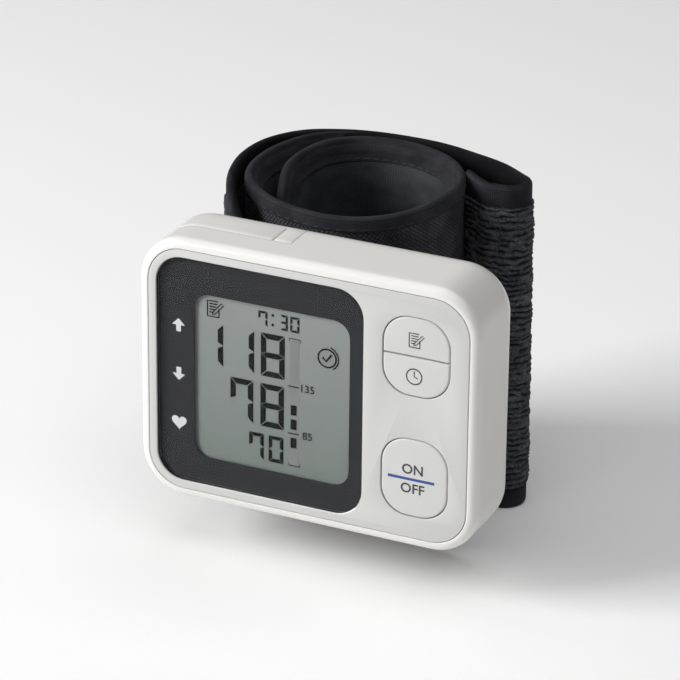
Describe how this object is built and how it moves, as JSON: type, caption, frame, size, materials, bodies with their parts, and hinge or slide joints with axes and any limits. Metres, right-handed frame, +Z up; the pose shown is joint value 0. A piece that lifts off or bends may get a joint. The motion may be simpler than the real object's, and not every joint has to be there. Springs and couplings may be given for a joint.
{
  "type": "wrist blood pressure monitor",
  "caption": "Wrist blood pressure monitor: rounded white case with a display and push keys, carried on a rolled fabric cuff whose strap end is folded back.",
  "frame": {"origin": "middle of the bounding box, on the plane of the cuff's lower edge that it stands on", "axes": "+Z up along the cuff, -Y out of the case's face, +X to the right of the face"},
  "size_m": [0.078, 0.0732, 0.0725],
  "materials": {
    "white_plastic": "warm white, glossy",
    "grey_panel": "light grey, satin",
    "dark_mask": "charcoal print",
    "clear_lens": "clear",
    "lcd": "grey-green liquid crystal",
    "inner_plastic": "moulded",
    "black_plastic": "moulded",
    "board": "green solder mask",
    "steel": "bright",
    "cell_wrap": "printed foil",
    "rubber": "soft",
    "cuff_cloth": "looped pile",
    "cuff_lining": "fine weave"
  },
  "bodies": {
    "monitor": {"front_case": "white_plastic", "rear_case": "white_plastic", "face_panel": "grey_panel", "display_lens": "clear_lens", "display_mask": "dark_mask", "case_screw_1": "steel", "case_screw_2": "steel", "case_screw_3": "steel", "case_screw_4": "steel", "lcd_glass": "lcd", "lcd_holder": "black_plastic", "zebra_strip": "rubber", "main_board": "board", "controller_chip": "black_plastic", "board_screw_1": "steel", "board_screw_2": "steel", "board_screw_3": "steel", "memory_switch": "black_plastic", "clock_switch": "black_plastic", "start_switch": "black_plastic", "battery_tray": "inner_plastic", "battery_1": "cell_wrap", "battery_2": "cell_wrap", "contact_bridge": "steel", "contact_plus": "steel", "contact_minus": "steel", "contact_spring_1": "steel", "contact_spring_2": "steel", "pump_motor": "steel", "pump_head": "black_plastic", "air_manifold": "inner_plastic", "pressure_sensor": "black_plastic", "release_valve": "steel", "pump_tube": "rubber", "sensor_tube": "rubber", "valve_tube": "rubber", "cuff_tube": "rubber", "air_nipple": "inner_plastic", "mount_plate": "black_plastic", "mount_screw_1": "steel", "mount_screw_2": "steel", "outer_band": "cuff_cloth", "strap_fold": "cuff_cloth", "ring_cover": "cuff_lining", "ring_curler": "inner_plastic", "ring_bladder": "rubber", "ring_lining": "cuff_lining"},
    "cover": {"battery_cover": "white_plastic"},
    "memory_button": {"memory_key": "grey_panel", "memory_plunger": "inner_plastic"},
    "clock_button": {"clock_key": "grey_panel", "clock_plunger": "inner_plastic"},
    "start_button": {"start_key": "grey_panel", "start_plunger": "inner_plastic"},
    "flap": {"strap_flap": "cuff_cloth", "hook_patch": "cuff_lining"},
    "crank": {"pump_crank": "steel"},
    "valve": {"valve_plunger": "steel"}
  },
  "joints": [
    {"name": "memory_press", "type": "slide", "parent": "monitor", "child": "memory_button", "axis": [0, 1, 0], "range_m": [0, 0.0006], "stiffness_N_per_m": 2000},
    {"name": "clock_press", "type": "slide", "parent": "monitor", "child": "clock_button", "axis": [0, 1, 0], "range_m": [0, 0.0006], "stiffness_N_per_m": 2000},
    {"name": "start_press", "type": "slide", "parent": "monitor", "child": "start_button", "axis": [0, 1, 0], "range_m": [0, 0.0006], "stiffness_N_per_m": 2000},
    {"name": "cover_slide", "type": "slide", "parent": "monitor", "child": "cover", "axis": [-1, 0, 0], "range_m": [0, 0.034]},
    {"name": "flap_turn", "type": "hinge", "parent": "monitor", "child": "flap", "pos_m": [0.0204, 0.02277, 0.0725], "axis": [-0.0548, 0.1095, 0.9925], "range_deg": [0, 120], "deforming": ["strap_fold"]},
    {"name": "pump_spin", "type": "hinge", "parent": "monitor", "child": "crank", "pos_m": [0.0295, -0.02323, 0.04], "axis": [0, 0, 1], "continuous": true},
    {"name": "valve_stroke", "type": "slide", "parent": "monitor", "child": "valve", "axis": [0, 0, 1], "range_m": [0, 0.0005], "stiffness_N_per_m": 1000}
  ]
}
